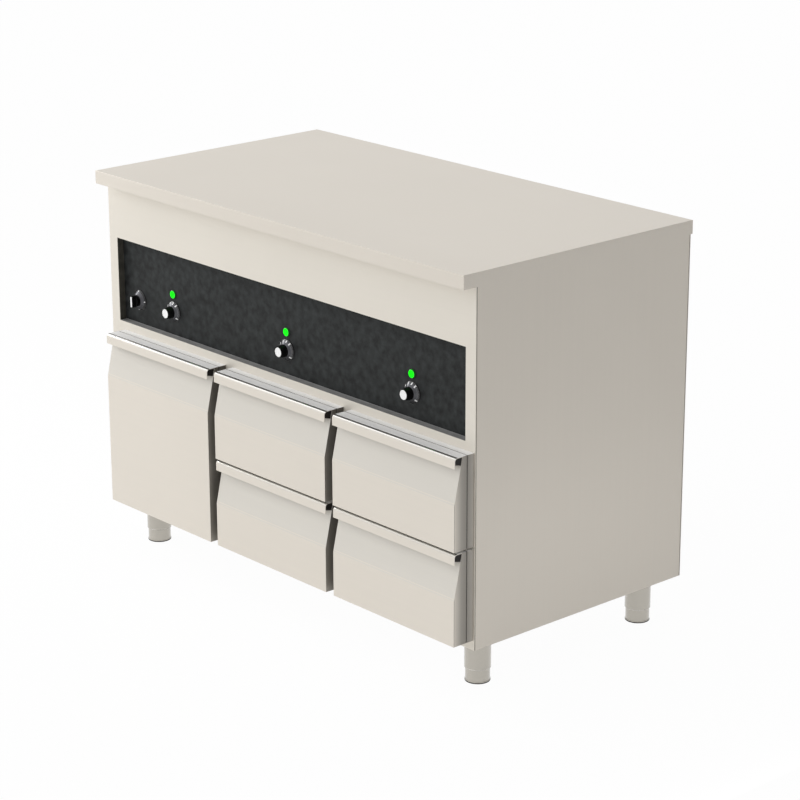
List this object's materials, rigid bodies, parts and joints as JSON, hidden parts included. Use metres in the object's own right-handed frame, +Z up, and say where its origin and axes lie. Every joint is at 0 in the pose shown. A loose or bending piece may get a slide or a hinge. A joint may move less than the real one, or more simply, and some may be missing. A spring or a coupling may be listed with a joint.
{
  "type": "hot food counter",
  "caption": "Heated steel base counter with a plain worktop, recessed black control strip, hinged door and drawers on level feet.",
  "frame": {"origin": "on the floor, under the middle of the counter's overall box", "axes": "+X along the counter to the right as seen from its front, +Y towards its back, +Z up"},
  "size_m": [1.2, 0.664, 0.883],
  "materials": {
    "worktop_steel": "satin",
    "front_steel": "satin",
    "body_steel": "satin",
    "rear_steel": "satin",
    "inner_steel": "satin",
    "leg_steel": "satin",
    "hinge_steel": "satin",
    "screw_steel": "polished",
    "zinc_rail": "satin",
    "element_steel": "matte",
    "shelf_wire": "polished",
    "panel_black": "matte",
    "dial_black": "satin",
    "knob_black": "satin",
    "lamp_green": "gloss",
    "switchgear_plastic": "matte",
    "gland_plastic": "matte",
    "gasket_rubber": "matte",
    "core_board": "matte",
    "mineral_wool": "matte"
  },
  "bodies": {
    "cabinet": {"worktop": "worktop_steel", "worktop_core": "core_board", "left_side_panel": "body_steel", "right_side_panel": "body_steel", "back_panel": "rear_steel", "base_panel": "rear_steel", "front_panel": "front_steel", "face_frame": "inner_steel", "liner_left": "inner_steel", "liner_middle": "inner_steel", "liner_right": "inner_steel", "insulation": "mineral_wool", "front_gaskets": "gasket_rubber", "heating_elements": "element_steel", "heater_covers": "inner_steel", "shelf_runners": "inner_steel", "wire_shelf": "shelf_wire", "rail_outer_members": "zinc_rail", "control_panel": "panel_black", "dial_plates": "dial_black", "thermostats": "switchgear_plastic", "main_switch_body": "switchgear_plastic", "pilot_lamp_lenses": "lamp_green", "pilot_lamp_bodies": "switchgear_plastic", "cable_gland": "gland_plastic", "terminal_block": "switchgear_plastic", "leg_tubes": "leg_steel", "hinge_leaves": "hinge_steel", "fasteners": "screw_steel"},
    "door": {"door_shell": "front_steel", "door_liner": "front_steel", "door_hinge_knuckles": "hinge_steel"},
    "middle_upper_drawer": {"middle_upper_drawer_shell": "front_steel", "middle_upper_drawer_liner": "front_steel", "middle_upper_drawer_box": "inner_steel", "middle_upper_rail_inner": "zinc_rail"},
    "middle_upper_rail": {"middle_upper_rail_middle": "zinc_rail"},
    "middle_lower_drawer": {"middle_lower_drawer_shell": "front_steel", "middle_lower_drawer_liner": "front_steel", "middle_lower_drawer_box": "inner_steel", "middle_lower_rail_inner": "zinc_rail"},
    "middle_lower_rail": {"middle_lower_rail_middle": "zinc_rail"},
    "right_upper_drawer": {"right_upper_drawer_shell": "front_steel", "right_upper_drawer_liner": "front_steel", "right_upper_drawer_box": "inner_steel", "right_upper_rail_inner": "zinc_rail"},
    "right_upper_rail": {"right_upper_rail_middle": "zinc_rail"},
    "right_lower_drawer": {"right_lower_drawer_shell": "front_steel", "right_lower_drawer_liner": "front_steel", "right_lower_drawer_box": "inner_steel", "right_lower_rail_inner": "zinc_rail"},
    "right_lower_rail": {"right_lower_rail_middle": "zinc_rail"},
    "main_switch": {"main_switch_knob": "knob_black"},
    "left_thermostat": {"left_thermostat_knob": "knob_black"},
    "middle_thermostat": {"middle_thermostat_knob": "knob_black"},
    "right_thermostat": {"right_thermostat_knob": "knob_black"},
    "front_left_foot_body": {"front_left_foot": "leg_steel"},
    "front_right_foot_body": {"front_right_foot": "leg_steel"},
    "rear_left_foot_body": {"rear_left_foot": "leg_steel"},
    "rear_right_foot_body": {"rear_right_foot": "leg_steel"}
  },
  "joints": [
    {"name": "door_hinge", "type": "hinge", "parent": "cabinet", "child": "door", "pos_m": [-0.561, -0.287, 0.3205], "axis": [0, 0, -1], "range_deg": [0, 105]},
    {"name": "middle_upper_drawer_slide", "type": "slide", "parent": "cabinet", "child": "middle_upper_drawer", "axis": [0, -1, 0], "range_m": [0, 0.45]},
    {"name": "middle_upper_rail_slide", "type": "slide", "parent": "cabinet", "child": "middle_upper_rail", "axis": [0, -1, 0], "range_m": [0, 0.225]},
    {"name": "middle_lower_drawer_slide", "type": "slide", "parent": "cabinet", "child": "middle_lower_drawer", "axis": [0, -1, 0], "range_m": [0, 0.45]},
    {"name": "middle_lower_rail_slide", "type": "slide", "parent": "cabinet", "child": "middle_lower_rail", "axis": [0, -1, 0], "range_m": [0, 0.225]},
    {"name": "right_upper_drawer_slide", "type": "slide", "parent": "cabinet", "child": "right_upper_drawer", "axis": [0, -1, 0], "range_m": [0, 0.45]},
    {"name": "right_upper_rail_slide", "type": "slide", "parent": "cabinet", "child": "right_upper_rail", "axis": [0, -1, 0], "range_m": [0, 0.225]},
    {"name": "right_lower_drawer_slide", "type": "slide", "parent": "cabinet", "child": "right_lower_drawer", "axis": [0, -1, 0], "range_m": [0, 0.45]},
    {"name": "right_lower_rail_slide", "type": "slide", "parent": "cabinet", "child": "right_lower_rail", "axis": [0, -1, 0], "range_m": [0, 0.225]},
    {"name": "main_switch_turn", "type": "hinge", "parent": "cabinet", "child": "main_switch", "pos_m": [-0.515, -0.2642, 0.592], "axis": [0, 1, 0], "range_deg": [0, 90]},
    {"name": "left_thermostat_turn", "type": "hinge", "parent": "cabinet", "child": "left_thermostat", "pos_m": [-0.389, -0.2642, 0.592], "axis": [0, 1, 0], "range_deg": [0, 300]},
    {"name": "middle_thermostat_turn", "type": "hinge", "parent": "cabinet", "child": "middle_thermostat", "pos_m": [0.005, -0.2642, 0.592], "axis": [0, 1, 0], "range_deg": [0, 300]},
    {"name": "right_thermostat_turn", "type": "hinge", "parent": "cabinet", "child": "right_thermostat", "pos_m": [0.399, -0.2642, 0.592], "axis": [0, 1, 0], "range_deg": [0, 300]},
    {"name": "front_left_foot_screw", "type": "slide", "parent": "cabinet", "child": "front_left_foot_body", "axis": [0, 0, -1], "range_m": [-0.02, 0.025]},
    {"name": "front_right_foot_screw", "type": "slide", "parent": "cabinet", "child": "front_right_foot_body", "axis": [0, 0, -1], "range_m": [-0.02, 0.025]},
    {"name": "rear_left_foot_screw", "type": "slide", "parent": "cabinet", "child": "rear_left_foot_body", "axis": [0, 0, -1], "range_m": [-0.02, 0.025]},
    {"name": "rear_right_foot_screw", "type": "slide", "parent": "cabinet", "child": "rear_right_foot_body", "axis": [0, 0, -1], "range_m": [-0.02, 0.025]}
  ],
  "couplings": [
    {"joint": "middle_upper_rail_slide", "follows": "middle_upper_drawer_slide", "ratio": 0.5},
    {"joint": "middle_lower_rail_slide", "follows": "middle_lower_drawer_slide", "ratio": 0.5},
    {"joint": "right_upper_rail_slide", "follows": "right_upper_drawer_slide", "ratio": 0.5},
    {"joint": "right_lower_rail_slide", "follows": "right_lower_drawer_slide", "ratio": 0.5}
  ]
}
